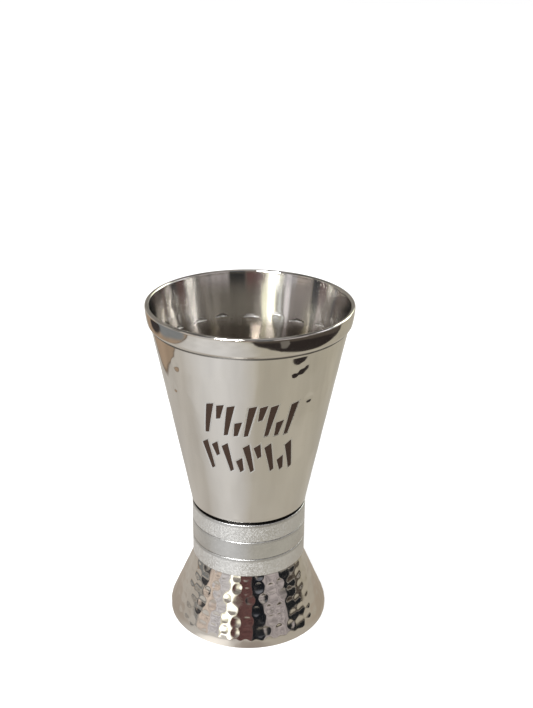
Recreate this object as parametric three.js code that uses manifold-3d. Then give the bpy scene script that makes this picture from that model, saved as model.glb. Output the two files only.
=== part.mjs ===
// A small kiddush cup: a conical steel bowl and a hollow flared steel foot,
// joined at the waist by three stacked aluminium rings.
// Millimetres, +Z up. The origin is on the cup's axis, on the surface it stands on.
// The two rows of engraved strokes are on the front, which faces -Y.

import * as THREE from "three";
import { mergeVertices } from "three/addons/utils/BufferGeometryUtils.js";
import Module from "manifold-3d";

const wasm = await Module();
wasm.setup();

// ---- Driving dimensions ----------------------------------------------------

const CUP_HEIGHT = 80;
const ROUND_SEGMENTS = 96;
const EDGE_STEPS = 2;
const LIP_STEPS = 6;
const FLOOR_STEPS = 4;
const WALL = 1.05;

const FOOT_HEIGHT = 16.2;
const FOOT_RADIUS = 19.25;
const FOOT_SLOPE = 23.2;
const FOOT_BEND = 3.0;
const FOOT_BEND_HEIGHT = 1.0;
const FOOT_EDGE_ROUND = 0.3;
const FOOT_PLATE = 1.5;
const FOOT_FILLET = 1.5;

const RING_RADIUS = 13.6;
const RING_HEIGHT = 4.63;
const RING_CHAMFER = 0.18;
const RING_NAMES = ["lower_ring", "middle_ring", "upper_ring"];

const BOWL_BOTTOM = FOOT_HEIGHT + RING_NAMES.length * RING_HEIGHT;
const HEEL_RADIUS = 13.75;
const HEEL_ROUND = 0.5;
const GROOVE_HEIGHT = 0.7;
const GROOVE_DEPTH = 1.0;
const BOWL_BASE = 1.6;
const FLOOR_ROUND = 2.6;

const BAND_HEIGHT = 4.85;
const BAND_LOW_RADIUS = 22.92;
const BAND_STEP = 0.62;
const BAND_STEP_RISE = 0.35;
const BAND_BULGE = 0.1;
const BAND_STEPS = 3;
const RIM_RADIUS = 23.5;
const LIP_ROUND = 0.5;

const STROKE_DEPTH = 0.25;
const STROKE_ROWS = [
  { middle: 59.4, tall: 8.6, lean: 1 },
  { middle: 49.5, tall: 7.8, lean: -1 },
];
const STROKES_IN_ROW = 9;
const STROKE_PITCH = 2.3;
const STROKE_TOP_WIDTH = 1.6;
const STROKE_FOOT_WIDTH = 0.9;
const STROKE_LEAN = THREE.MathUtils.degToRad(11);
const SHORT_STROKE = 0.5;

// ---- Materials ---------------------------------------------------------------

const steel = new THREE.MeshStandardMaterial({ color: 0xc9c3b8, roughness: 0.12, metalness: 1 });
const aluminium = new THREE.MeshStandardMaterial({ color: 0xc8cac8, roughness: 0.45, metalness: 1 });

// ---- Profiles and solids -----------------------------------------------------

// Points of an arc in the profile plane (x is radius, y is height), angles in degrees.
function arc(centreX, centreY, radius, from, to, steps) {
  return Array.from({ length: steps + 1 }, (_, i) => {
    const angle = THREE.MathUtils.degToRad(from + ((to - from) * i) / steps);
    return new THREE.Vector2(centreX + radius * Math.cos(angle), centreY + radius * Math.sin(angle));
  });
}

function point(radius, height) {
  return new THREE.Vector2(radius, height);
}

// Revolves a profile about +Z.
function turned(profile) {
  const geometry = new THREE.LatheGeometry(profile, ROUND_SEGMENTS);
  return geometry.rotateX(Math.PI / 2);
}

function solidOf(geometry) {
  const bare = geometry.clone();
  bare.deleteAttribute("normal");
  bare.deleteAttribute("uv");
  const merged = mergeVertices(bare, 1e-4);
  return new wasm.Manifold(
    new wasm.Mesh({
      numProp: 3,
      vertProperties: merged.attributes.position.array,
      triVerts: new Uint32Array(merged.index.array),
    }),
  );
}

function geometryOf(solid) {
  const mesh = solid.getMesh();
  return new THREE.BufferGeometry()
    .setAttribute("position", new THREE.BufferAttribute(mesh.vertProperties, 3))
    .setIndex(new THREE.BufferAttribute(mesh.triVerts, 1));
}

function named(name, geometry, material) {
  const mesh = new THREE.Mesh(geometry, material);
  mesh.name = name;
  return mesh;
}

// ---- Foot --------------------------------------------------------------------

// A flared cone that turns upright at its edge, open below, closed above by a plate for the rings.
function footProfile() {
  const slope = THREE.MathUtils.degToRad(FOOT_SLOPE);
  const bend = point(FOOT_RADIUS - FOOT_BEND, FOOT_BEND_HEIGHT);
  const plateUnderside = FOOT_HEIGHT - FOOT_PLATE;
  // Radius at a height of the cone's outer face, or of the face that lies inset behind it.
  const coneRadius = (height, inset) =>
    bend.x + (FOOT_BEND - inset) / Math.cos(slope) - (height - bend.y) * Math.tan(slope);
  return [
    point(0, plateUnderside),
    point(coneRadius(plateUnderside, WALL) - FOOT_FILLET, plateUnderside),
    point(coneRadius(plateUnderside - FOOT_FILLET, WALL), plateUnderside - FOOT_FILLET),
    ...arc(bend.x, bend.y, FOOT_BEND - WALL, FOOT_SLOPE, 0, EDGE_STEPS),
    point(FOOT_RADIUS - WALL, 0),
    ...arc(FOOT_RADIUS - FOOT_EDGE_ROUND, FOOT_EDGE_ROUND, FOOT_EDGE_ROUND, -90, 0, EDGE_STEPS),
    ...arc(bend.x, bend.y, FOOT_BEND, 0, FOOT_SLOPE, EDGE_STEPS),
    point(coneRadius(FOOT_HEIGHT, 0), FOOT_HEIGHT),
    point(0, FOOT_HEIGHT),
  ];
}

function foot() {
  return named("foot", turned(footProfile()), steel);
}

// ---- Rings -------------------------------------------------------------------

function ringProfile() {
  const edge = RING_RADIUS - RING_CHAMFER;
  return [
    point(0, 0),
    point(edge, 0),
    point(RING_RADIUS, RING_CHAMFER),
    point(RING_RADIUS, RING_HEIGHT - RING_CHAMFER),
    point(edge, RING_HEIGHT),
    point(0, RING_HEIGHT),
  ];
}

function rings() {
  const stack = new THREE.Group();
  RING_NAMES.forEach((name, i) => {
    const ring = named(name, turned(ringProfile()), aluminium);
    ring.position.z = FOOT_HEIGHT + i * RING_HEIGHT;
    stack.add(ring);
  });
  return stack;
}

// ---- Bowl --------------------------------------------------------------------

const BAND_BOTTOM = CUP_HEIGHT - BAND_HEIGHT;
const CONE_TOP_RADIUS = BAND_LOW_RADIUS - BAND_STEP;
const CONE_BOTTOM = BOWL_BOTTOM + GROOVE_HEIGHT + HEEL_ROUND;
const WALL_LEAN = (CONE_TOP_RADIUS - HEEL_RADIUS) / (BAND_BOTTOM - CONE_BOTTOM);

// Outer radius of the conical wall at a height.
function wallRadius(height) {
  return HEEL_RADIUS + WALL_LEAN * (height - CONE_BOTTOM);
}

// The band from its lower edge up to the lip, bulging a little between them.
function bandCurve(top) {
  const bottom = BAND_BOTTOM + BAND_STEP_RISE;
  return Array.from({ length: BAND_STEPS }, (_, i) => {
    const t = i / BAND_STEPS;
    const bulge = 4 * BAND_BULGE * t * (1 - t);
    const radius = THREE.MathUtils.lerp(BAND_LOW_RADIUS, RIM_RADIUS, t) + bulge;
    return point(radius, THREE.MathUtils.lerp(bottom, top, t));
  });
}

// Underside, shadow groove, heel, conical wall, plain band, rounded lip, then the inside.
function bowlProfile() {
  const grooveTop = BOWL_BOTTOM + GROOVE_HEIGHT;
  const floor = BOWL_BOTTOM + BOWL_BASE;
  const lipBottom = CUP_HEIGHT - LIP_ROUND;
  const floorCorner = floor + FLOOR_ROUND;
  const wallAngle = THREE.MathUtils.radToDeg(Math.atan(WALL_LEAN));
  return [
    point(0, BOWL_BOTTOM),
    point(HEEL_RADIUS - GROOVE_DEPTH, BOWL_BOTTOM),
    point(HEEL_RADIUS - GROOVE_DEPTH, grooveTop),
    ...arc(HEEL_RADIUS - HEEL_ROUND, grooveTop + HEEL_ROUND, HEEL_ROUND, -90, 0, EDGE_STEPS),
    point(CONE_TOP_RADIUS, BAND_BOTTOM),
    ...bandCurve(lipBottom),
    ...arc(RIM_RADIUS - LIP_ROUND, lipBottom, LIP_ROUND, 0, 180, LIP_STEPS),
    ...arc(
      wallRadius(floorCorner) - WALL - FLOOR_ROUND,
      floorCorner,
      FLOOR_ROUND,
      -wallAngle,
      -90,
      FLOOR_STEPS,
    ),
    point(0, floor),
  ];
}

// Outline of one stroke, centred on its own middle: wide above, narrow below, with slanted ends.
function strokeShape(length) {
  const half = length / 2;
  const top = STROKE_TOP_WIDTH / 2;
  const low = STROKE_FOOT_WIDTH / 2;
  return new THREE.Shape([
    point(-top, half - top),
    point(-low, -half),
    point(low, -half + low),
    point(top, half),
  ]);
}

// A row has tall strokes with short ones between them, which hang high and sit low by turns.
function strokeLength(row, index) {
  return index % 2 === 0 ? row.tall : row.tall * SHORT_STROKE;
}

function strokeLift(row, index) {
  const spare = (row.tall - strokeLength(row, index)) / 2;
  return index % 4 === 1 ? spare : -spare;
}

// A cutter that sinks one stroke into the front wall, square to its slope.
function strokeCutter(row, index) {
  const offset = index - (STROKES_IN_ROW - 1) / 2;
  const radius = wallRadius(row.middle);
  const cutter = new THREE.ExtrudeGeometry(strokeShape(strokeLength(row, index)), {
    depth: 2 * STROKE_DEPTH,
    bevelEnabled: false,
  });
  cutter.translate(0, strokeLift(row, index), -STROKE_DEPTH);
  cutter.rotateZ(-row.lean * STROKE_LEAN);
  cutter.rotateX(Math.PI / 2 + Math.atan(WALL_LEAN));
  cutter.translate(0, -radius, row.middle);
  cutter.rotateZ((offset * STROKE_PITCH) / radius);
  return cutter;
}

function bowl() {
  let solid = solidOf(turned(bowlProfile()));
  for (const row of STROKE_ROWS) {
    for (let i = 0; i < STROKES_IN_ROW; i++) {
      solid = solid.subtract(solidOf(strokeCutter(row, i)));
    }
  }
  return named("bowl", geometryOf(solid), steel);
}

// ---- Cup ---------------------------------------------------------------------

const cup = new THREE.Group();
cup.name = "kiddush_cup";
cup.add(foot(), rings(), bowl());

export default cup;
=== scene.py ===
import math

import bpy
import numpy as np
from mathutils import Matrix, Vector


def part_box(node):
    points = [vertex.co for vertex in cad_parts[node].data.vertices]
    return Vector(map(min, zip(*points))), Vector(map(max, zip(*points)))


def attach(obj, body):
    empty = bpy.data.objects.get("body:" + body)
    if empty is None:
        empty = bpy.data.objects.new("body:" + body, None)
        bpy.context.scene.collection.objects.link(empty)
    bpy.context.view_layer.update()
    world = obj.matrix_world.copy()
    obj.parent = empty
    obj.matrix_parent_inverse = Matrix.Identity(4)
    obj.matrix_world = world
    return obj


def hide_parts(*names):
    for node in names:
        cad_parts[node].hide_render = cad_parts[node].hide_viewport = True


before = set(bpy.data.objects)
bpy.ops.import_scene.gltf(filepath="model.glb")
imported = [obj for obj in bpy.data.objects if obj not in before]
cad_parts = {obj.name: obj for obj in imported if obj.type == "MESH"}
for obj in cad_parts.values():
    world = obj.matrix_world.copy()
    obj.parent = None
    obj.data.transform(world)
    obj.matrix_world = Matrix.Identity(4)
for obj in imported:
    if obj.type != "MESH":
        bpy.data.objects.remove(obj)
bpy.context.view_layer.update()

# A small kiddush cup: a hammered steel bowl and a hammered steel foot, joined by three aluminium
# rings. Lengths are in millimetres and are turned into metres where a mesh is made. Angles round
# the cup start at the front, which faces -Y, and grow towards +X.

MM = 0.001

# ---- Sizes -------------------------------------------------------------------------------------

CUP_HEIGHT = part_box("bowl")[1].z / MM
RIM_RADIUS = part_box("bowl")[1].x / MM
BOWL_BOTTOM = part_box("bowl")[0].z / MM
FOOT_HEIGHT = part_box("foot")[1].z / MM
FOOT_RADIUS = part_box("foot")[1].x / MM
RING_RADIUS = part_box("middle_ring")[1].x / MM
WALL = 1.05

FOOT_SLOPE = 23.2
FOOT_BEND = 3.0
FOOT_BEND_HEIGHT = 1.0
FOOT_EDGE_ROUND = 0.3
FOOT_PLATE = 1.5
FOOT_FILLET = 1.5

HEEL_RADIUS = 13.75
HEEL_ROUND = 0.5
GROOVE_HEIGHT = 0.7
GROOVE_DEPTH = 1.0
BOWL_BASE = 1.6
FLOOR_ROUND = 2.6

BAND_HEIGHT = 4.85
BAND_LOW_RADIUS = 22.92
BAND_STEP = 0.62
BAND_STEP_RISE = 0.35
BAND_BULGE = 0.1
LIP_ROUND = 0.5

BAND_BOTTOM = CUP_HEIGHT - BAND_HEIGHT
CONE_BOTTOM = BOWL_BOTTOM + GROOVE_HEIGHT + HEEL_ROUND
CONE_TOP_RADIUS = BAND_LOW_RADIUS - BAND_STEP
WALL_LEAN = (CONE_TOP_RADIUS - HEEL_RADIUS) / (BAND_BOTTOM - CONE_BOTTOM)

STROKE_ROWS = [
    {"middle": 59.4, "tall": 8.6, "lean": 1},
    {"middle": 49.5, "tall": 7.8, "lean": -1},
]
STROKES_IN_ROW = 9
STROKE_PITCH = 2.3
STROKE_TOP_WIDTH = 1.6
STROKE_FOOT_WIDTH = 0.9
STROKE_LEAN = math.radians(11)
SHORT_STROKE = 0.5
STROKE_DEPTH = 0.16
STROKE_BEVEL = 0.27
STROKE_CLEAR = 0.02
STROKE_SINK = 0.015
STROKE_PROUD = 0.008
STROKE_STEP = 0.6

RANDOM_SEED = 7
random = np.random.default_rng(RANDOM_SEED)


# ---- Camera ------------------------------------------------------------------------------------

# Place in metres, angles in radians and focal length in millimetres.
CAMERA_DISTANCE = 0.21492
CAMERA_HEIGHT = 0.156036
CAMERA_PITCH = 0.3919
CAMERA_YAW = 0.0177
CAMERA_ROLL = 0.0133
CAMERA_LENS = 51.88
CAMERA_NEAR_LIMIT = 0.01


def make_camera():
    """Looks down on the front of the cup from close by, as a hand-held telephone does."""
    forward = Vector((
        math.sin(CAMERA_YAW) * math.cos(CAMERA_PITCH),
        math.cos(CAMERA_YAW) * math.cos(CAMERA_PITCH),
        -math.sin(CAMERA_PITCH),
    ))
    right = Vector((math.cos(CAMERA_YAW), -math.sin(CAMERA_YAW), 0))
    up = right.cross(forward)
    right, up = (
        math.cos(CAMERA_ROLL) * right + math.sin(CAMERA_ROLL) * up,
        math.cos(CAMERA_ROLL) * up - math.sin(CAMERA_ROLL) * right,
    )
    data = bpy.data.cameras.new("camera")
    data.lens = CAMERA_LENS
    data.clip_start = CAMERA_NEAR_LIMIT
    camera = bpy.data.objects.new("camera", data)
    camera.matrix_world = (
        Matrix.Translation((0, -CAMERA_DISTANCE, CAMERA_HEIGHT))
        @ Matrix((right, up, -forward)).transposed().to_4x4()
    )
    bpy.context.scene.collection.objects.link(camera)
    bpy.context.scene.camera = camera


# ---- Node helpers ------------------------------------------------------------------------------

# Nearly all values of a noise lie between these.
NOISE_LOW, NOISE_HIGH = 0.3, 0.7


def add(tree, kind, inputs=None, **properties):
    """Adds a node, sets its properties, and links or sets its inputs."""
    node = tree.nodes.new(kind)
    for name, value in properties.items():
        setattr(node, name, value)
    for name, value in (inputs or {}).items():
        if isinstance(value, bpy.types.NodeSocket):
            tree.links.new(value, node.inputs[name])
        else:
            node.inputs[name].default_value = value
    return node


def calculate(tree, operation, *values):
    """The result of one Math node."""
    node = add(tree, "ShaderNodeMath", dict(enumerate(values)), operation=operation)
    return node.outputs[0]


def blended(tree, factor, first, second):
    """A colour mixed from two others."""
    node = add(tree, "ShaderNodeMix", {0: factor, 6: first, 7: second}, data_type="RGBA")
    return node.outputs[2]


def spread(tree, value, low, high, to_low, to_high, smooth=False):
    """A value moved from one range to another and kept inside it."""
    kind = "SMOOTHSTEP" if smooth else "LINEAR"
    inputs = {
        "Value": value,
        "From Min": low,
        "From Max": high,
        "To Min": to_low,
        "To Max": to_high,
    }
    return add(tree, "ShaderNodeMapRange", inputs, interpolation_type=kind).outputs[0]


def averaged(tree, first, second, share):
    """A mean of two values, in which the first has that share."""
    rest = calculate(tree, "MULTIPLY", second, 1 - share)
    return calculate(tree, "MULTIPLY_ADD", first, share, rest)


def noise(tree, vector, scale, detail=2.0):
    """Cloudy values around one half, finer with a larger scale."""
    inputs = {"Vector": vector, "Scale": scale, "Detail": detail}
    return add(tree, "ShaderNodeTexNoise", inputs).outputs["Fac"]


def stretched(tree, vector, scale):
    """Coordinates scaled differently along each axis."""
    return add(tree, "ShaderNodeMapping", {"Vector": vector, "Scale": scale}).outputs[0]


def colour(red, green, blue):
    """An opaque colour in linear light."""
    return (red, green, blue, 1.0)


# ---- Surroundings ------------------------------------------------------------------------------

# The floor and background are plain white, which polished steel would mirror as a blank. So it
# mirrors a stand-in for a room and a table, which nothing but reflections can see. Both are made
# of layers, each over the ones before it. A layer has its azimuths in degrees, its elevations in
# degrees (in the room) or its distances from the cup in millimetres (on the table), how square
# its outline is, how soft its edge is and its colour.
ROOM_COLOUR = colour(0.33, 0.31, 0.285)
ROOM = [
    # Darker walls behind the cup.
    (-205, -104, -9, 95, 12, 0.9, colour(0.24, 0.225, 0.20)),
    (158, 205, -9, 95, 12, 0.9, colour(0.24, 0.225, 0.20)),
    # Low strips, which the foot mirrors, from left to right.
    (-89, -77, -9, 20, 5, 1.1, colour(0.05, 0.05, 0.055)),
    (-77, -55, -9, 16, 5, 1.1, colour(0.66, 0.57, 0.51)),
    (-57, -35, -9, 16, 5, 1.1, colour(0.66, 0.65, 0.68)),
    (-39, -19, -9, 12, 6, 0.8, colour(0.98, 0.96, 0.78)),
    (-34, -22, -9, 12, 5, 0.8, colour(2.2, 2.2, 2.1)),
    (-19, 6, -9, 22, 5, 0.9, colour(0.125, 0.060, 0.058)),
    (6, 25, -9, 34, 6, 0.9, colour(0.010, 0.012, 0.016)),
    (25, 62, -9, 16, 7, 0.9, colour(0.42, 0.385, 0.39)),
    (62, 98, -9, 12, 8, 0.7, colour(0.016, 0.018, 0.020)),
    # Grey areas above the strips.
    (8, 24, 17, 38, 6, 1.2, colour(0.16, 0.17, 0.20)),
    (26, 80, 17, 38, 8, 0.8, colour(0.44, 0.41, 0.41)),
    (-70, -15, 21, 40, 6, 0.9, colour(0.12, 0.11, 0.11)),
    # Windows to the right and behind, the last one the brightest part of the one before.
    (82, 97, 13, 38, 8, 0.4, colour(1.50, 1.48, 1.58)),
    (104, 112, 10, 38, 8, 0.4, colour(1.25, 1.32, 1.35)),
    (117, 153, 8, 38, 10, 0.5, colour(1.75, 1.78, 1.40)),
    (122, 137, 10, 38, 8, 0.4, colour(3.6, 3.6, 3.45)),
    # Dim upper walls and a lighter ceiling.
    (-205, 205, 41, 99, 14, 0.8, colour(0.10, 0.095, 0.09)),
    (-205, 205, 64, 116, 12, 0.8, colour(0.42, 0.405, 0.39)),
]
# How far outlines waver in degrees, how much the colours vary, how fine both are, and how soft
# the horizon is in degrees.
ROOM_WOBBLE = 3.0
ROOM_WOBBLE_SCALE = 4
ROOM_UNEVEN = 0.5
ROOM_UNEVEN_SCALE = 14
HORIZON_EDGE = 0.4

TABLE_COLOUR = colour(0.52, 0.49, 0.45)
TABLE = [
    # Painted shade on the table to the right and a painted pool of light to the left.
    (-20, 160, 40, 900, 4, 1.6, colour(0.44, 0.405, 0.318)),
    (-74, -2, 20, 210, 2, 1.9, colour(0.74, 0.73, 0.72)),
    # Close to the foot: painted shadow of the cup at both sides, a painted pool of light in front
    # to the left and a darker patch in front to the right.
    (-180, -62, -40, 40, 4, 1.4, colour(0.44, 0.39, 0.34)),
    (62, 180, -40, 40, 4, 1.4, colour(0.43, 0.375, 0.305)),
    (-42, -10, -31, 31, 2, 1.2, colour(1.25, 1.22, 1.17)),
    (-9, 20, -31, 31, 2, 1.2, colour(0.32, 0.28, 0.25)),
    # A tan thing with a dark rim on the left, and a grey one behind it with a dark spot.
    (-150, -66.5, 117, 300, 3, 0.08, colour(0.12, 0.085, 0.06)),
    (-149, -68, 119, 300, 3, 0.10, colour(0.38, 0.285, 0.205)),
    (-116, -70, 138, 420, 6, 0.7, colour(0.23, 0.24, 0.245)),
    (-134, -110, 148, 215, 2, 0.7, colour(0.05, 0.042, 0.04)),
    # A dark thing on the right, the dim table beyond it and a pale spot.
    (0, 112, 105, 277, 2, 0.05, colour(0.030, 0.024, 0.022)),
    (2, 112, 165, 700, 12, 0.3, colour(0.085, 0.070, 0.058)),
    (32, 41, 126, 190, 4, 0.9, colour(0.17, 0.155, 0.135)),
]
# The same for the table, whose outlines waver in degrees and in millimetres.
TABLE_WOBBLE = 2.5
TABLE_WOBBLE_SCALE = 28
TABLE_WOBBLE_RANGE = (0.2, 0.8)
TABLE_UNEVEN = 0.10
TABLE_UNEVEN_SCALE = 22
TABLE_RADIUS = 1200
TABLE_TOP = -0.1

FLOOR_RADIUS = 2400
FLOOR_GREY = 0.34
FLOOR_GLOW = 0.72
DISC_CORNERS = 96


def direction_of(azimuth, elevation):
    """The direction from the cup towards an azimuth and elevation in degrees."""
    turn, rise = math.radians(azimuth), math.radians(elevation)
    return Vector((
        math.sin(turn) * math.cos(rise),
        -math.cos(turn) * math.cos(rise),
        math.sin(rise),
    ))


def off_centre(tree, value, low, high):
    """Distance from the middle of a range, as a share of its half width."""
    shifted = calculate(tree, "SUBTRACT", value, (low + high) / 2)
    return calculate(tree, "ABSOLUTE", calculate(tree, "DIVIDE", shifted, (high - low) / 2))


def layered(tree, base, layers, azimuth, outward):
    """A colour made of layers that each cover a range of azimuths and of a second measure."""
    seen = base
    for left, right, near, far, squareness, softness, tint in layers:
        sideways = calculate(tree, "POWER", off_centre(tree, azimuth, left, right), squareness)
        onward = calculate(tree, "POWER", off_centre(tree, outward, near, far), squareness)
        reach = calculate(tree, "ADD", sideways, onward)
        inside = spread(tree, reach, 1 - softness / 2, 1 + softness / 2, 1, 0)
        seen = blended(tree, inside, seen, tint)
    return seen


def uneven(tree, tint, vector, scale, amount):
    """A colour made lighter and darker in soft patches."""
    cloud = noise(tree, vector, scale, detail=4)
    factor = spread(tree, cloud, NOISE_LOW, NOISE_HIGH, 1 - amount, 1 + amount)
    inputs = {"Vector": tint, "Scale": factor}
    return add(tree, "ShaderNodeVectorMath", inputs, operation="SCALE").outputs[0]


def azimuth_of(tree, axes):
    """Degrees round the cup from its front, towards +X."""
    forward = calculate(tree, "MULTIPLY", axes[1], -1.0)
    return calculate(tree, "DEGREES", calculate(tree, "ARCTAN2", axes[0], forward))


def make_world():
    """White to the camera and to matte surfaces, and a room to those that mirror it."""
    world = bpy.data.worlds.new("studio")
    bpy.context.scene.world = world
    world.use_nodes = True
    tree = world.node_tree
    tree.nodes.clear()
    direction = add(tree, "ShaderNodeTexCoord").outputs["Generated"]
    axes = add(tree, "ShaderNodeSeparateXYZ", {0: direction}).outputs
    waver = noise(tree, direction, ROOM_WOBBLE_SCALE)
    wobble = spread(tree, waver, 0, 1, -ROOM_WOBBLE, ROOM_WOBBLE)
    azimuth = calculate(tree, "ADD", azimuth_of(tree, axes), wobble)
    elevation = calculate(tree, "DEGREES", calculate(tree, "ARCSINE", axes[2]))
    above = layered(tree, ROOM_COLOUR, ROOM, azimuth, elevation)
    above = uneven(tree, above, direction, ROOM_UNEVEN_SCALE, ROOM_UNEVEN)
    over_table = spread(tree, elevation, -HORIZON_EDGE, HORIZON_EDGE, 0, 1)
    mirrored = blended(tree, over_table, TABLE_COLOUR, above)
    path = add(tree, "ShaderNodeLightPath").outputs
    plain = calculate(tree, "MAXIMUM", path["Is Camera Ray"], path["Is Diffuse Ray"])
    seen = blended(tree, plain, mirrored, colour(1, 1, 1))
    background = add(tree, "ShaderNodeBackground", {"Color": seen})
    add(tree, "ShaderNodeOutputWorld", {"Surface": background.outputs[0]})


def flat_disc(name, radius, height, material):
    """A wide level disc, as part of the stage."""
    angles = np.linspace(0, math.tau, DISC_CORNERS, endpoint=False)
    corners = [(radius * math.cos(a), radius * math.sin(a), height) for a in angles]
    mesh = bpy.data.meshes.new(name)
    mesh.from_pydata((np.array(corners) * MM).tolist(), [], [list(range(len(corners)))])
    mesh.materials.append(material)
    disc = bpy.data.objects.new(name, mesh)
    bpy.context.scene.collection.objects.link(disc)
    return disc


def glow(name):
    """A material that only gives off light."""
    material = bpy.data.materials.new(name)
    material.use_nodes = True
    tree = material.node_tree
    tree.nodes.clear()
    light = add(tree, "ShaderNodeEmission")
    add(tree, "ShaderNodeOutputMaterial", {"Surface": light.outputs[0]})
    return material, tree, light.inputs["Color"]


def only_mirrored(stage_piece):
    """Hides a stage piece from everything but reflections."""
    stage_piece.visible_camera = False
    stage_piece.visible_diffuse = False
    stage_piece.visible_shadow = False
    stage_piece.visible_transmission = False


def make_mirrored_table():
    """The table top and what lies on it, as the steel mirrors them."""
    material, tree, tint = glow("mirrored_table")
    place = add(tree, "ShaderNodeTexCoord").outputs["Object"]
    axes = add(tree, "ShaderNodeSeparateXYZ", {0: place}).outputs
    far = add(tree, "ShaderNodeVectorMath", {0: place}, operation="LENGTH").outputs["Value"]
    waver = noise(tree, place, TABLE_WOBBLE_SCALE)
    wobble = spread(tree, waver, *TABLE_WOBBLE_RANGE, -TABLE_WOBBLE, TABLE_WOBBLE)
    distance = calculate(tree, "MULTIPLY_ADD", far, 1 / MM, wobble)
    azimuth = calculate(tree, "ADD", azimuth_of(tree, axes), wobble)
    seen = layered(tree, TABLE_COLOUR, TABLE, azimuth, distance)
    tree.links.new(uneven(tree, seen, place, TABLE_UNEVEN_SCALE, TABLE_UNEVEN), tint)
    only_mirrored(flat_disc("mirrored_table", TABLE_RADIUS, TABLE_TOP, material))


def make_floor():
    """A wide white floor that gives off some light, so that only a faint shadow shows."""
    material = bpy.data.materials.new("floor")
    material.use_nodes = True
    shader = material.node_tree.nodes["Principled BSDF"].inputs
    shader["Base Color"].default_value = colour(FLOOR_GREY, FLOOR_GREY, FLOOR_GREY)
    shader["Roughness"].default_value = 1.0
    shader["Specular IOR Level"].default_value = 0.0
    shader["Emission Color"].default_value = colour(1, 1, 1)
    shader["Emission Strength"].default_value = FLOOR_GLOW
    floor = flat_disc("floor", FLOOR_RADIUS, 0, material)
    floor.visible_glossy = False
    floor.visible_diffuse = False


def make_light(name, azimuth, elevation, distance, size, power):
    """A soft square light that points at the middle of the cup."""
    data = bpy.data.lights.new(name, "AREA")
    data.shape = "SQUARE"
    data.size = size
    data.energy = power
    light = bpy.data.objects.new(name, data)
    away = direction_of(azimuth, elevation)
    light.location = Vector((0, 0, CUP_HEIGHT / 2 * MM)) + away * distance
    light.rotation_mode = "QUATERNION"
    light.rotation_quaternion = away.to_track_quat("Z", "Y")
    bpy.context.scene.collection.objects.link(light)


# ---- Materials ---------------------------------------------------------------------------------

# Noise scales, which are larger for finer patterns, and the reliefs in millimetres.
STEEL_TINT_SCALE = 140
SMUDGE_SCALE = 210
SMUDGE_RANGE = (0.35, 0.7)
SMUDGE_GLOSS = (0.6, 1.5)
SCRATCH_STRETCH = (500, 500, 9000)
SCRATCH_DULLING = 0.3
SCRATCH_RELIEF_SHARE = 0.08
RIPPLE_SCALE = 600
RIPPLE_RELIEF = 0.002

TURNING_STRETCH = (9000, 1, 9000)
TURNING_PATCH_SCALE = 130
TURNING_PATCH_SHARE = 0.6
TURNING_GLOSS = (0.75, 1.3)
TURNING_RELIEF = 0.003
TURNING_ANISOTROPY = 0.92
QUARTER_TURN = 0.25

# The height below which the turned steel, as inside the lower bowl, is darkened with painted
# shade, and how much that height varies.
PAINTED_SHADE_EDGE = (67.8, 71.4)
PAINTED_SHADE_WAVE = 3.0

ALUMINIUM_DULL = (0.66, 0.665, 0.66)
ALUMINIUM_BRIGHT = (0.93, 0.935, 0.93)
ALUMINIUM_PATCH_SCALE = 220
ALUMINIUM_PATCH_SHARE = 0.4
FLECK_RANGE = (0.35, 0.6)

PAINT_GRAIN_SCALE = 2600
PAINT_RELIEF = 0.01
PAINT_ROUGHNESS = (0.38, 0.6)


def new_material(name):
    """A material, its nodes, its shader and the place on the piece."""
    material = bpy.data.materials.new(name)
    material.use_nodes = True
    tree = material.node_tree
    place = add(tree, "ShaderNodeTexCoord").outputs["Object"]
    return material, tree, tree.nodes["Principled BSDF"], place


def set_bump(tree, shader, height, distance):
    """Adds fine relief of that many millimetres."""
    inputs = {"Height": height, "Distance": distance * MM, "Strength": 1.0}
    bump = add(tree, "ShaderNodeBump", inputs)
    tree.links.new(bump.outputs[0], shader.inputs["Normal"])


def polished_steel(name, roughness, pale, warm):
    """Mirror-bright steel with faint smudges, a little uneven tint and hairline scratches."""
    material, tree, shader, place = new_material(name)
    shader.inputs["Metallic"].default_value = 1.0
    tint = noise(tree, place, STEEL_TINT_SCALE)
    tree.links.new(blended(tree, tint, pale, warm), shader.inputs["Base Color"])
    cloud = noise(tree, place, SMUDGE_SCALE, detail=5)
    glossiest, dullest = (roughness * share for share in SMUDGE_GLOSS)
    smudge = spread(tree, cloud, *SMUDGE_RANGE, glossiest, dullest)
    scratch = noise(tree, stretched(tree, place, SCRATCH_STRETCH), scale=1, detail=3)
    rough = calculate(tree, "MULTIPLY_ADD", scratch, roughness * SCRATCH_DULLING, smudge)
    tree.links.new(rough, shader.inputs["Roughness"])
    ripple = noise(tree, place, RIPPLE_SCALE, detail=2)
    height = calculate(tree, "MULTIPLY_ADD", scratch, SCRATCH_RELIEF_SHARE, ripple)
    set_bump(tree, shader, height, RIPPLE_RELIEF)
    return material


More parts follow.
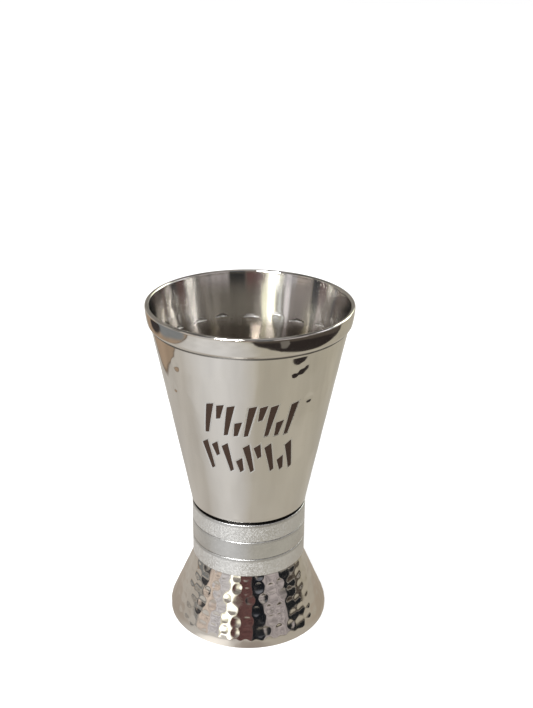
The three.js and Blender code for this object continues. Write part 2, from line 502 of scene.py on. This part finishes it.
def brushed_steel(name, roughness, dark, light, deep=None):
    """Steel with fine turning lines round the axis, which draw reflections out upright.

    deep is its colour further down in the bowl, a painted shade there.
    """
    material, tree, shader, place = new_material(name)
    shader.inputs["Metallic"].default_value = 1.0
    shader.inputs["Anisotropic"].default_value = TURNING_ANISOTROPY
    shader.inputs["Anisotropic Rotation"].default_value = QUARTER_TURN
    axes = add(tree, "ShaderNodeSeparateXYZ", {0: place}).outputs
    across = add(tree, "ShaderNodeVectorMath", {0: place}, operation="LENGTH").outputs["Value"]
    fine = add(tree, "ShaderNodeCombineXYZ", {0: across, 2: axes[2]}).outputs[0]
    line = noise(tree, stretched(tree, fine, TURNING_STRETCH), scale=1, detail=3)
    patch = noise(tree, place, TURNING_PATCH_SCALE, detail=3)
    tint = averaged(tree, patch, line, TURNING_PATCH_SHARE)
    steel = blended(tree, tint, dark, light)
    if deep is not None:
        # Below the edge, whose height wavers with the patches, the steel fades to the deeper
        # colour, a painted shade.
        rise = calculate(tree, "MULTIPLY_ADD", patch, PAINTED_SHADE_WAVE * MM, axes[2])
        low, high = (height * MM for height in PAINTED_SHADE_EDGE)
        steel = blended(tree, spread(tree, rise, low, high, 0, 1, smooth=True), deep, steel)
    tree.links.new(steel, shader.inputs["Base Color"])
    glossiest, dullest = (roughness * share for share in TURNING_GLOSS)
    rough = spread(tree, line, NOISE_LOW, NOISE_HIGH, glossiest, dullest)
    tree.links.new(rough, shader.inputs["Roughness"])
    tangent = add(tree, "ShaderNodeTangent", direction_type="RADIAL", axis="Z").outputs[0]
    tree.links.new(tangent, shader.inputs["Tangent"])
    set_bump(tree, shader, line, TURNING_RELIEF)
    return material


def blasted_aluminium(name, roughness, grain, relief, sparkle, shade=1.0):
    """Silvery anodised aluminium with a fine grain, which glitters where sparkle is high."""
    material, tree, shader, place = new_material(name)
    shader.inputs["Metallic"].default_value = 1.0
    fleck = noise(tree, place, grain, detail=3)
    patch = noise(tree, place, ALUMINIUM_PATCH_SCALE, detail=2)
    tint = averaged(tree, patch, fleck, ALUMINIUM_PATCH_SHARE)
    dull = colour(*(part * shade for part in ALUMINIUM_DULL))
    bright = colour(*(part * shade for part in ALUMINIUM_BRIGHT))
    tree.links.new(blended(tree, tint, dull, bright), shader.inputs["Base Color"])
    glossiest, dullest = roughness * (1 - sparkle), roughness * (1 + sparkle / 2)
    rough = spread(tree, fleck, *FLECK_RANGE, glossiest, dullest)
    tree.links.new(rough, shader.inputs["Roughness"])
    set_bump(tree, shader, fleck, relief)
    return material


def stroke_paint(name):
    """Dark brown filling, a little glossy, with a fine uneven grain."""
    material, tree, shader, place = new_material(name)
    shader.inputs["Specular IOR Level"].default_value = 0.25
    grain = noise(tree, place, PAINT_GRAIN_SCALE, detail=4)
    dark, light = colour(0.019, 0.010, 0.006), colour(0.035, 0.019, 0.012)
    tree.links.new(blended(tree, grain, dark, light), shader.inputs["Base Color"])
    rough = spread(tree, grain, NOISE_LOW, NOISE_HIGH, *PAINT_ROUGHNESS)
    tree.links.new(rough, shader.inputs["Roughness"])
    set_bump(tree, shader, grain, PAINT_RELIEF)
    return material


# ---- Profiles ----------------------------------------------------------------------------------

SAME_POINT = 1e-6


def arc(centre_x, centre_y, radius, start, end, steps):
    """Points of an arc in the profile plane, with angles in degrees."""
    angles = np.radians(np.linspace(start, end, steps + 1))
    return [(centre_x + radius * math.cos(a), centre_y + radius * math.sin(a)) for a in angles]


def dense(points, step):
    """A run of points with more put in, so that none are further apart than a step."""
    run = [points[0]]
    for start, end in zip(points, points[1:]):
        count = max(1, math.ceil(math.dist(start, end) / step))
        for k in range(1, count + 1):
            t = k / count
            run.append((start[0] + (end[0] - start[0]) * t, start[1] + (end[1] - start[1]) * t))
    return run


def wall_radius(height):
    """Outer radius of the bowl's wall at a height."""
    return HEEL_RADIUS + WALL_LEAN * (height - CONE_BOTTOM)


def profile_of(**runs):
    """Joins named runs of points into one profile, and says which rows each run takes."""
    points, rows = [], {}
    for name, run in runs.items():
        if points and math.dist(run[0], points[-1]) < SAME_POINT:
            points.pop()
        rows[name] = slice(len(points), len(points) + len(run))
        points += run
    return np.array(points), rows


def lengths_along(profile):
    """How far along a profile each of its points lies."""
    return np.concatenate([[0], np.cumsum(np.linalg.norm(np.diff(profile, axis=0), axis=1))])


# ---- Turned meshes -----------------------------------------------------------------------------

SHARP_ANGLE = math.radians(38)


def round_columns(count):
    """Angles spaced evenly round the cup."""
    return np.linspace(-math.pi, math.pi, count, endpoint=False)


def turned(name, profile, columns, finishes, relief=None, picks=None):
    """Revolves a profile that starts and ends on the axis.

    relief is a grid of how far each point is pushed out of the surface. picks says which of the
    materials each row of points has, or each point.
    """
    rows, turns = len(profile), len(columns)
    tangent = np.gradient(profile, axis=0)
    tangent /= np.linalg.norm(tangent, axis=1)[:, None]
    push = np.zeros((rows, turns)) if relief is None else relief
    radius = profile[:, :1] + push * tangent[:, 1:]
    height = profile[:, 1:] - push * tangent[:, :1]
    grid = np.stack([radius * np.sin(columns), -radius * np.cos(columns), height], axis=2)[1:-1]
    poles = [(0, 0, profile[0][1]), (0, 0, profile[-1][1])]
    points = np.concatenate([grid.reshape(-1, 3), poles]) * MM
    here = np.arange(turns)
    beside = (here + 1) % turns
    starts = np.arange(rows - 3)[:, None] * turns
    corners = [here + starts, beside + starts, beside + starts + turns, here + starts + turns]
    quads = np.stack(corners, axis=2).reshape(-1, 4).tolist()
    top = (rows - 3) * turns
    bottom_pole, top_pole = top + turns, top + turns + 1
    fans = [(bottom_pole, b, a) for a, b in zip(here.tolist(), beside.tolist())]
    fans += [(top_pole, top + a, top + b) for a, b in zip(here.tolist(), beside.tolist())]
    mesh = bpy.data.meshes.new(name)
    mesh.from_pydata(points.tolist(), [], quads + fans)
    for finish in finishes:
        mesh.materials.append(finish)
    if picks is not None:
        grid_picks = np.broadcast_to(picks.reshape(rows, -1), (rows, turns))
        of_faces = [grid_picks[2:-1].ravel(), grid_picks[0], grid_picks[-1]]
        mesh.polygons.foreach_set("material_index", np.concatenate(of_faces).tolist())
    mesh.polygons.foreach_set("use_smooth", [True] * len(mesh.polygons))
    mesh.set_sharp_from_angle(angle=SHARP_ANGLE)
    piece = bpy.data.objects.new(name, mesh)
    bpy.context.scene.collection.objects.link(piece)
    return piece


def stands_for(piece, node):
    """Puts a piece in the place of a CAD node."""
    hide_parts(node)
    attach(piece, "root")


# ---- Hammering ---------------------------------------------------------------------------------

BLOW_SIZES = (0.85, 1.15)
BLOW_DEPTHS = (0.6, 1.15)


def hammered(columns, lengths, radii, blows):
    """Depths of shallow dents on a grid. Where two dents meet, the deeper one counts."""
    depth = np.zeros((len(lengths), len(columns)))
    for blow in blows:
        rows = np.nonzero(np.abs(lengths - blow["along"]) < blow["radius"])[0]
        turn = (columns - blow["angle"] + math.pi) % math.tau - math.pi
        hit = np.nonzero(np.abs(turn) * radii.min() < blow["radius"])[0]
        if len(rows) == 0 or len(hit) == 0:
            continue
        across = turn[hit][None, :] * radii[rows][:, None]
        up = (lengths[rows] - blow["along"])[:, None]
        share = 1 - (across**2 + up**2) / blow["radius"] ** 2
        window = np.ix_(rows, hit)
        depth[window] = np.maximum(depth[window], blow["depth"] * share)
    return depth


def softened(grid, passes):
    """Rounds the crests of a grid that closes on itself sideways."""
    for _ in range(passes):
        grid = (np.roll(grid, 1, axis=1) + 2 * grid + np.roll(grid, -1, axis=1)) / 4
        inner = (grid[:-2] + 2 * grid[1:-1] + grid[2:]) / 4
        grid = np.concatenate([grid[:1], inner, grid[-1:]])
    return grid


def blow_rows(first, last, spacing, pitch, radius_at, size, depth, jitter):
    """Rows of hammer blows round the cup, each row starting at an angle of its own."""
    blows = []
    count = max(1, round((last - first) / spacing))
    for row in range(count + 1):
        along = first + (last - first) * row / count
        number = max(3, round(math.tau * radius_at(along) / pitch))
        start = random.uniform(0, math.tau)
        for k in range(number):
            shift = random.normal(0, jitter, 2)
            blows.append({
                "angle": start + math.tau * (k + shift[0]) / number,
                "along": along + shift[1] * spacing,
                "radius": size * random.uniform(*BLOW_SIZES),
                "depth": depth * random.uniform(*BLOW_DEPTHS),
            })
    return blows


# ---- Foot --------------------------------------------------------------------------------------

FOOT_COLUMNS = 500
FOOT_STEP = 0.2
FOOT_DENT_PITCH = 2.8
FOOT_DENT_SPACING = 2.7
FOOT_DENT_RADIUS = 1.3
FOOT_DENT_DEPTH = 0.09
FOOT_DENT_JITTER = 0.12
FOOT_DENT_START = 0.5
FOOT_DENT_END = 0.6


def foot_profile():
    """The hollow, then the edge that it stands on, the outer face and the plate on top."""
    slope = math.radians(FOOT_SLOPE)
    bend = FOOT_RADIUS - FOOT_BEND
    ceiling = FOOT_HEIGHT - FOOT_PLATE

    def cone(height, inset):
        """A point of the cone's outer face, or of the face inset behind it."""
        drop = (height - FOOT_BEND_HEIGHT) * math.tan(slope)
        return (bend + (FOOT_BEND - inset) / math.cos(slope) - drop, height)

    inner_bend = arc(bend, FOOT_BEND_HEIGHT, FOOT_BEND - WALL, FOOT_SLOPE, 0, steps=6)
    outer_bend = arc(bend, FOOT_BEND_HEIGHT, FOOT_BEND, 0, FOOT_SLOPE, steps=8)
    edge_middle = FOOT_RADIUS - FOOT_EDGE_ROUND
    edge = arc(edge_middle, FOOT_EDGE_ROUND, FOOT_EDGE_ROUND, -90, 0, steps=5)
    corner = (cone(ceiling, WALL)[0] - FOOT_FILLET, ceiling)
    below_corner = cone(ceiling - FOOT_FILLET, WALL)
    inner_foot = (FOOT_RADIUS - WALL, FOOT_EDGE_ROUND / 2)
    top = cone(FOOT_HEIGHT, 0)
    return profile_of(
        ceiling=dense([(0, ceiling), corner], step=2.5),
        fillet=dense([corner, below_corner], step=0.7),
        hollow=dense([below_corner, inner_bend[0]], step=1.2),
        inner_bend=inner_bend,
        inner_edge=dense([inner_bend[-1], inner_foot], step=0.4),
        underside=[inner_foot, (FOOT_RADIUS - WALL + FOOT_EDGE_ROUND / 2, 0), edge[0]],
        edge=edge,
        upright=dense([edge[-1], outer_bend[0]], step=0.25),
        outer_bend=outer_bend,
        cone=dense([outer_bend[-1], top], step=FOOT_STEP),
        plate=dense([top, (0, FOOT_HEIGHT)], step=3.0),
    )


def make_foot(outside, inside):
    """Flared foot covered with small round hammer dents, and hollow beneath."""
    profile, rows = foot_profile()
    columns = round_columns(FOOT_COLUMNS)
    lengths, radii = lengths_along(profile), profile[:, 0]
    outer = slice(rows["edge"].start, rows["cone"].stop)
    low, high = lengths[rows["outer_bend"].start], lengths[rows["cone"].stop - 1]
    blows = blow_rows(
        low + FOOT_DENT_START, high - FOOT_DENT_END, FOOT_DENT_SPACING, FOOT_DENT_PITCH,
        lambda along: float(np.interp(along, lengths[outer], radii[outer])),
        FOOT_DENT_RADIUS, FOOT_DENT_DEPTH, FOOT_DENT_JITTER,
    )
    relief = np.zeros((len(profile), len(columns)))
    dents = hammered(columns, lengths[outer], radii[outer], blows)
    relief[outer] = -softened(dents, passes=1)
    finishes = [outside, inside]
    picks = np.full(len(profile), finishes.index(inside))
    picks[outer] = finishes.index(outside)
    piece = turned("hammered_foot", profile, columns, finishes, relief, picks)
    stands_for(piece, "foot")


# ---- Rings -------------------------------------------------------------------------------------

RING_EDGE = 0.16
RING_COLUMNS = 240
# Where each part of a ring has its place in the list of finishes.
RING_SIDE, RING_LOWER_EDGE, RING_UPPER_EDGE, RING_FLAT = range(4)


def make_ring(node, finishes):
    """A turned disc with small rounded edges, which stands in for one CAD ring.

    finishes are those of its side, its lower edge, which is painted shade at the joint, its upper
    edge and its flat faces, which are painted shadow in the gaps.
    """
    low, high = (corner.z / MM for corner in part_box(node))
    flat = RING_RADIUS - RING_EDGE
    profile, rows = profile_of(
        bottom=dense([(0, low), (flat, low)], step=3.0),
        lower_edge=arc(flat, low + RING_EDGE, RING_EDGE, -90, 0, steps=4),
        side=dense([(RING_RADIUS, low + RING_EDGE), (RING_RADIUS, high - RING_EDGE)], step=0.6),
        upper_edge=arc(flat, high - RING_EDGE, RING_EDGE, 0, 90, steps=4),
        top=dense([(flat, high), (0, high)], step=3.0),
    )
    picks = np.full(len(profile), RING_SIDE)
    # The lower edge is painted shade at the joint below the ring.
    picks[rows["lower_edge"]] = RING_LOWER_EDGE
    picks[rows["upper_edge"]] = RING_UPPER_EDGE
    # The flat faces are painted shadow where they show in the gaps.
    picks[rows["bottom"].start:rows["bottom"].stop - 1] = RING_FLAT
    picks[rows["upper_edge"].stop:] = RING_FLAT
    columns = round_columns(RING_COLUMNS)
    piece = turned(node + "_turned", profile, columns, finishes, picks=picks)
    stands_for(piece, node)


# ---- Strokes -----------------------------------------------------------------------------------

def all_strokes():
    """Every stroke: its place on the wall, its lean and its length."""
    strokes = []
    for row in STROKE_ROWS:
        for k in range(STROKES_IN_ROW):
            length = row["tall"] * (1 if k % 2 == 0 else SHORT_STROKE)
            spare = (row["tall"] - length) / 2
            steps = k - (STROKES_IN_ROW - 1) / 2
            strokes.append({
                "angle": steps * STROKE_PITCH / wall_radius(row["middle"]),
                "middle": row["middle"],
                "lean": row["lean"] * STROKE_LEAN,
                "lift": spare if k % 4 == 1 else -spare,
                "outline": stroke_outline(length),
            })
    return strokes


def stroke_outline(length):
    """Four corners, anticlockwise: wide above, narrow below, with slanted ends."""
    half, top, low = length / 2, STROKE_TOP_WIDTH / 2, STROKE_FOOT_WIDTH / 2
    return np.array([(-top, half - top), (-low, -half), (low, -half + low), (top, half)])


def outward_of(outline):
    """The direction square to each side of an outline, pointing out of it."""
    sides = np.roll(outline, -1, axis=0) - outline
    sides /= np.linalg.norm(sides, axis=1)[:, None]
    return np.stack([sides[:, 1], -sides[:, 0]], axis=1)


def grown(outline, margin):
    """An outline with every side moved out by a margin."""
    after = outward_of(outline)
    before = np.roll(after, 1, axis=0)
    return outline + margin * (before + after) / (1 + (before * after).sum(1))[:, None]


def outside_by(outline, x, y):
    """How far points lie outside an outline, negative inside it."""
    gaps = [
        (x - corner[0]) * out[0] + (y - corner[1]) * out[1]
        for corner, out in zip(outline, outward_of(outline))
    ]
    return np.max(gaps, axis=0)


def to_wall(stroke, points):
    """Angle and height on the bowl's wall of flat points of a stroke."""
    x, y = points[:, 0], points[:, 1] + stroke["lift"]
    across = x * math.cos(stroke["lean"]) + y * math.sin(stroke["lean"])
    up = y * math.cos(stroke["lean"]) - x * math.sin(stroke["lean"])
    angle = stroke["angle"] + across / wall_radius(stroke["middle"])
    return angle, stroke["middle"] + up * math.cos(math.atan(WALL_LEAN))


def from_wall(stroke, angle, height):
    """Flat points of a stroke from an angle and height on the bowl's wall."""
    across = (angle - stroke["angle"]) * wall_radius(stroke["middle"])
    up = (height - stroke["middle"]) / math.cos(math.atan(WALL_LEAN))
    x = across * math.cos(stroke["lean"]) - up * math.sin(stroke["lean"])
    y = across * math.sin(stroke["lean"]) + up * math.cos(stroke["lean"])
    return x, y - stroke["lift"]


def stroke_recess(angle, height):
    """Depth of the hollows under the strokes, on a grid of the bowl's wall."""
    depth = np.zeros(angle.shape)
    for stroke in all_strokes():
        gap = outside_by(stroke["outline"], *from_wall(stroke, angle, height))
        depth[gap < STROKE_CLEAR] = STROKE_DEPTH
    return depth


def split_sides(outline, counts):
    """Points round an outline, with each side cut into its own number of steps."""
    points = []
    for start, end, count in zip(outline, np.roll(outline, -1, axis=0), counts):
        points += [start + (end - start) * k / count for k in range(count)]
    return np.array(points)


def make_strokes(paint, bright, wall_relief):
    """The dark filling of the strokes, with a bevel round each one that catches light and is made
    brighter with painted highlight.

    wall_relief gives the wall's hammering at an angle and height.
    """
    points, faces, picks = [], [], []
    of_filling, of_bevels = range(2)
    slope = math.atan(WALL_LEAN)

    def placed(stroke, flat, sink):
        """Points of a stroke in space, sunk below the hammered wall."""
        angle, height = to_wall(stroke, flat)
        push = wall_relief(angle, height) - sink
        radius = wall_radius(height) + push * math.cos(slope)
        height = height - push * math.sin(slope)
        return np.stack([radius * np.sin(angle), -radius * np.cos(angle), height], axis=1)

    for stroke in all_strokes():
        outline = stroke["outline"]
        spans = np.linalg.norm(np.roll(outline, -1, axis=0) - outline, axis=1)
        counts = [max(2, math.ceil(span / STROKE_STEP)) for span in spans]
        inner = split_sides(outline, counts)
        outer = split_sides(grown(outline, STROKE_BEVEL), counts)
        first, count = len(points), len(inner)
        points += placed(stroke, inner, STROKE_SINK).tolist()
        points += placed(stroke, outer, -STROKE_PROUD).tolist()
        faces.append([first + k for k in range(count)])
        picks.append(of_filling)
        for k in range(count):
            after = (k + 1) % count
            faces.append([first + after, first + k, first + count + k, first + count + after])
            picks.append(of_bevels)
    mesh = bpy.data.meshes.new("stroke_inlay")
    mesh.from_pydata((np.array(points) * MM).tolist(), [], faces)
    mesh.materials.append(paint)
    mesh.materials.append(bright)
    mesh.polygons.foreach_set("material_index", picks)
    piece = bpy.data.objects.new("stroke_inlay", mesh)
    bpy.context.scene.collection.objects.link(piece)
    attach(piece, "root")


# ---- Bowl --------------------------------------------------------------------------------------

BOWL_FRONT = math.radians(56)
BOWL_FRONT_COLUMNS = 150
BOWL_BACK_COLUMNS = 146
STROKE_ZONE = (44.5, 64.6)

BOWL_DENT_PITCH = 6.0
BOWL_DENT_SPACING = 5.2
BOWL_DENT_RADIUS = 3.9
BOWL_DENT_DEPTH = 0.055
BOWL_DENT_JITTER = 0.16
BOWL_DENT_START = 2.5
BOWL_DENT_END = 2.6

# Deeper small blows: angle in degrees, height, radius and depth.
BOWL_NICKS = [
    (28, 74.9, 2.0, 0.08),
    (26.5, 70.9, 1.0, 0.12),
    (30.5, 71.6, 1.0, 0.12),
    (33.5, 72.3, 0.7, 0.08),
    (40, 63.4, 1.3, 0.14),
    (-48, 70.2, 1.3, 0.13),
    (-54, 63.8, 1.0, 0.11),
]

# Crescents inside, each with an arched upper edge that has a painted shade line over a painted
# highlight line.
MARKS = 20
MARK_HEIGHT = 69.3
MARK_ZONE = (66.2, 70.8)
MARK_WIDTH = 4.2
MARK_WIDTHS = (0.7, 1.15)
MARK_RISE = 0.08
MARK_RISES = (0.6, 1.2)
MARK_SHIFT = 0.12
MARK_LIFT = 0.5
MARK_TILT = 0.12
MARK_SAG = 0.35
MARK_EDGE = 0.5
MARK_FALL = 1.5
MARK_DARK = 0.55
MARK_BRIGHT = 0.22
INNER_BLOWS_TOP = 68.0

CREASE_HEIGHT = 0.3
BAND_ROWS = 25
BAND_CROWDING = 1.4
BAND_EDGE = 0.25
BAND_EDGE_SHARE = 0.15
STEP_SHADE_ROWS = 3

# Where each part of the bowl has its place in the list of finishes.
BOWL_OUTSIDE, BOWL_INSIDE, BOWL_PAINTED_SHADE, BOWL_PAINTED_HIGHLIGHT, BOWL_PAINTED_SHADOW = range(5)


def bowl_columns():
    """Angles round the bowl, closer together at the front, where the strokes are."""
    front = np.linspace(-BOWL_FRONT, BOWL_FRONT, BOWL_FRONT_COLUMNS)
    rest = np.linspace(BOWL_FRONT, math.tau - BOWL_FRONT, BOWL_BACK_COLUMNS + 2)[1:-1]
    angles = np.concatenate([front, rest])
    return np.sort((angles + math.pi) % math.tau - math.pi)


def bowl_profile():
    """Underside, groove, heel, wall, plain band and lip, then down the inside to the floor."""
    groove_top = BOWL_BOTTOM + GROOVE_HEIGHT
    groove = HEEL_RADIUS - GROOVE_DEPTH
    floor = BOWL_BOTTOM + BOWL_BASE
    lip_bottom = CUP_HEIGHT - LIP_ROUND
    band_start = BAND_BOTTOM + BAND_STEP_RISE
    zone = [(wall_radius(z), z) for z in STROKE_ZONE]
    crease = (wall_radius(BAND_BOTTOM - CREASE_HEIGHT), BAND_BOTTOM - CREASE_HEIGHT)
    heel = arc(HEEL_RADIUS - HEEL_ROUND, groove_top + HEEL_ROUND, HEEL_ROUND, -90, 0, steps=5)
    band = []
    for t in np.linspace(0, 1, BAND_ROWS) ** BAND_CROWDING:
        radius = BAND_LOW_RADIUS + (RIM_RADIUS - BAND_LOW_RADIUS) * t
        bulge = 4 * BAND_BULGE * t * (1 - t)
        rounding = BAND_EDGE * max(0, 1 - t / BAND_EDGE_SHARE) ** 2
        band.append((radius + bulge - rounding, band_start + (lip_bottom - band_start) * t))
    lip = arc(RIM_RADIUS - LIP_ROUND, lip_bottom, LIP_ROUND, 0, 180, steps=14)
    corner_top = floor + FLOOR_ROUND
    corner_x = wall_radius(corner_top) - WALL - FLOOR_ROUND
    lean = math.degrees(math.atan(WALL_LEAN))
    corner = arc(corner_x, corner_top, FLOOR_ROUND, -lean, -90, steps=8)

    def inside(height):
        """A point of the inner wall, which runs straight from the lip to the floor's corner."""
        share = (height - corner[0][1]) / (lip_bottom - corner[0][1])
        return (corner[0][0] + (lip[-1][0] - corner[0][0]) * share, height)

    return profile_of(
        underside=dense([(0, BOWL_BOTTOM), (groove, BOWL_BOTTOM)], step=3.0),
        groove=dense([(groove, BOWL_BOTTOM), (groove, groove_top), heel[0]], step=0.5),
        heel=heel,
        low_wall=dense([heel[-1], zone[0]], step=0.6),
        stroke_wall=dense(zone, step=0.2),
        high_wall=dense([zone[1], crease], step=0.5),
        crease=[crease, (CONE_TOP_RADIUS, BAND_BOTTOM)],
        step=dense([(CONE_TOP_RADIUS, BAND_BOTTOM), band[0]], step=0.2),
        band=band,
        lip=lip,
        inner_top=dense([lip[-1], inside(MARK_ZONE[1])], step=0.6),
        inner_marks=dense([inside(MARK_ZONE[1]), inside(MARK_ZONE[0])], step=0.14),
        inner_wall=dense([inside(MARK_ZONE[0]), corner[0]], step=0.9),
        corner=corner,
        floor=dense([corner[-1], (0, floor)], step=1.6),
    )


def inner_marks(columns, heights, radii):
    """A row of crescents inside, where hammer blows have pushed the wall in.

    Gives how far each point is pushed in, and each point's finish, which is painted shade just
    above each crescent's edge and painted highlight just below it.
    """
    push = np.zeros((len(heights), len(columns)))
    lines = np.full(push.shape, BOWL_INSIDE)
    for k in range(MARKS):
        centre = math.tau * (k + random.uniform(-MARK_SHIFT, MARK_SHIFT)) / MARKS
        top = MARK_HEIGHT + random.uniform(-MARK_LIFT, MARK_LIFT)
        width = MARK_WIDTH * random.uniform(*MARK_WIDTHS)
        tilt = random.uniform(-MARK_TILT, MARK_TILT)
        rise = MARK_RISE * random.uniform(*MARK_RISES)
        turn = (columns - centre + math.pi) % math.tau - math.pi
        across = turn[None, :] * radii[:, None] / (width / 2)
        line = top + tilt * across * width / 2 - MARK_SAG * across**2
        below = line - heights[:, None]
        fade = 1 - np.clip(across, -1, 1) ** 2
        depth = np.clip(below, 0, None)
        fall = (1 - np.exp(-depth / MARK_EDGE)) * np.exp(-depth / MARK_FALL)
        push = np.maximum(push, rise * fade**2 * fall)
        # Painted highlight just below the edge, painted shade just above it.
        lines[(below > 0) & (below < MARK_BRIGHT * fade)] = BOWL_PAINTED_HIGHLIGHT
        lines[(below < 0) & (below > -MARK_DARK * fade)] = BOWL_PAINTED_SHADE
    return push, lines


def bowl_relief(profile, rows, columns):
    """Hammering of the wall, which shows inside too, the small nicks and the marks inside.

    Gives the relief, which finish each point has, and the rows of the wall.
    """
    radii, heights = profile[:, 0], profile[:, 1]
    relief = np.zeros((len(profile), len(columns)))
    wall = slice(rows["low_wall"].start, rows["high_wall"].stop)
    blows = blow_rows(
        heights[wall.start] + BOWL_DENT_START, heights[wall.stop - 1] - BOWL_DENT_END,
        BOWL_DENT_SPACING, BOWL_DENT_PITCH, wall_radius,
        BOWL_DENT_RADIUS, BOWL_DENT_DEPTH, BOWL_DENT_JITTER,
    )
    nicks = [
        {"angle": math.radians(degrees), "along": height, "radius": size, "depth": depth}
        for degrees, height, size, depth in BOWL_NICKS
    ]
    dents = softened(hammered(columns, heights[wall], radii[wall], blows), passes=3)
    sharp = softened(hammered(columns, heights[wall], radii[wall], nicks), passes=1)
    relief[wall] = -dents - sharp
    inside = slice(rows["inner_top"].start, rows["inner_wall"].stop)
    lower = [blow for blow in blows if blow["along"] < INNER_BLOWS_TOP]
    bumps = softened(hammered(columns, heights[inside], radii[inside], lower), passes=3)
    push, lines = inner_marks(columns, heights[inside], radii[inside])
    relief[inside] = bumps + push
    picks = np.full(relief.shape, BOWL_INSIDE)
    picks[inside] = lines
    return relief, picks, wall


def make_bowl(outside, inside, shaded, bright, gap, paint):
    """The hammered bowl and the filled strokes on its front.

    The materials are those of its outside, its inside, the dark lines of painted shade and the
    bright lines of painted highlight, the groove under the heel painted as shadow, and the
    strokes.
    """
    profile, rows = bowl_profile()
    columns = bowl_columns()
    relief, picks, wall = bowl_relief(profile, rows, columns)
    heights = profile[wall, 1]
    hammering = relief[wall].copy()

    def wall_relief(angle, height):
        """The hammering at any place on the wall."""
        across = np.interp(angle, columns, np.arange(len(columns)))
        up = np.interp(height, heights, np.arange(len(heights)))
        column, row = np.floor(across).astype(int), np.floor(up).astype(int)
        right, above = across - column, up - row
        lower = hammering[row, column] * (1 - right) + hammering[row, column + 1] * right
        upper = hammering[row + 1, column] * (1 - right) + hammering[row + 1, column + 1] * right
        return lower * (1 - above) + upper * above

    angle, height = np.meshgrid(columns, heights)
    relief[wall] -= stroke_recess(angle, height)
    picks[rows["heel"].start:rows["inner_top"].start] = BOWL_OUTSIDE
    # The groove under the heel is painted near black, a painted shadow.
    picks[rows["groove"]] = BOWL_PAINTED_SHADOW
    # Painted shade: dark steel along the crease under the band and the lowest rows of the step.
    picks[rows["crease"].stop - 1:rows["step"].start + STEP_SHADE_ROWS] = BOWL_PAINTED_SHADE
    finishes = [outside, inside, shaded, bright, gap]
    piece = turned("hammered_bowl", profile, columns, finishes, relief, picks)
    stands_for(piece, "bowl")
    make_strokes(paint, bright, wall_relief)


# ---- The whole scene ---------------------------------------------------------------------------

bpy.context.scene.view_settings.view_transform = "Standard"
make_camera()
make_world()
make_mirrored_table()
make_floor()
make_light("key", azimuth=-25, elevation=40, distance=0.9, size=0.35, power=15.0)

bowl_steel = polished_steel(
    "bowl_steel_polished",
    roughness=0.06,
    pale=colour(0.82, 0.80, 0.77),
    warm=colour(0.79, 0.76, 0.71),
)
foot_steel = polished_steel(
    "foot_steel_polished",
    roughness=0.08,
    pale=colour(0.76, 0.72, 0.68),
    warm=colour(0.72, 0.68, 0.62),
)
turned_steel = brushed_steel(
    "brushed_steel",
    roughness=0.105,
    dark=colour(0.62, 0.60, 0.57),
    light=colour(0.78, 0.76, 0.73),
    deep=colour(0.42, 0.39, 0.36),
)
# Dark steel, a painted shade: along the crease under the band, above the crescents inside and on
# the rings' lower edges.
painted_shade_steel = brushed_steel(
    "painted_shade_steel",
    roughness=0.4,
    dark=colour(0.20, 0.19, 0.18),
    light=colour(0.30, 0.29, 0.27),
)
# Near-black steel: painted shadow in the groove under the bowl's heel and on the rings' flat
# faces.
painted_shadow_steel = brushed_steel(
    "painted_shadow_steel",
    roughness=0.6,
    dark=colour(0.020, 0.019, 0.018),
    light=colour(0.045, 0.042, 0.040),
)
# Lighter, rougher metal that paints highlight on the stroke bevels and below the crescents' edges
# inside.
painted_highlight_edge = blasted_aluminium(
    "painted_highlight_edge", roughness=0.35, grain=3200, relief=0.004, sparkle=0.2
)
cut_edge = blasted_aluminium(
    "cut_edge", roughness=0.36, grain=3200, relief=0.0005, sparkle=0.2, shade=0.8
)
matte = blasted_aluminium(
    "matte_aluminium", roughness=0.48, grain=2600, relief=0.10, sparkle=0.42, shade=1.02
)
satin = blasted_aluminium(
    "satin_aluminium", roughness=0.2, grain=1200, relief=0.0015, sparkle=0.12, shade=0.9
)

make_foot(foot_steel, turned_steel)
make_ring("lower_ring", [matte, painted_shade_steel, cut_edge, painted_shadow_steel])
make_ring("middle_ring", [satin, painted_shade_steel, cut_edge, painted_shadow_steel])
make_ring("upper_ring", [matte, painted_shade_steel, cut_edge, painted_shadow_steel])
make_bowl(
    bowl_steel, turned_steel, painted_shade_steel, painted_highlight_edge, painted_shadow_steel, stroke_paint("stroke_paint")
)
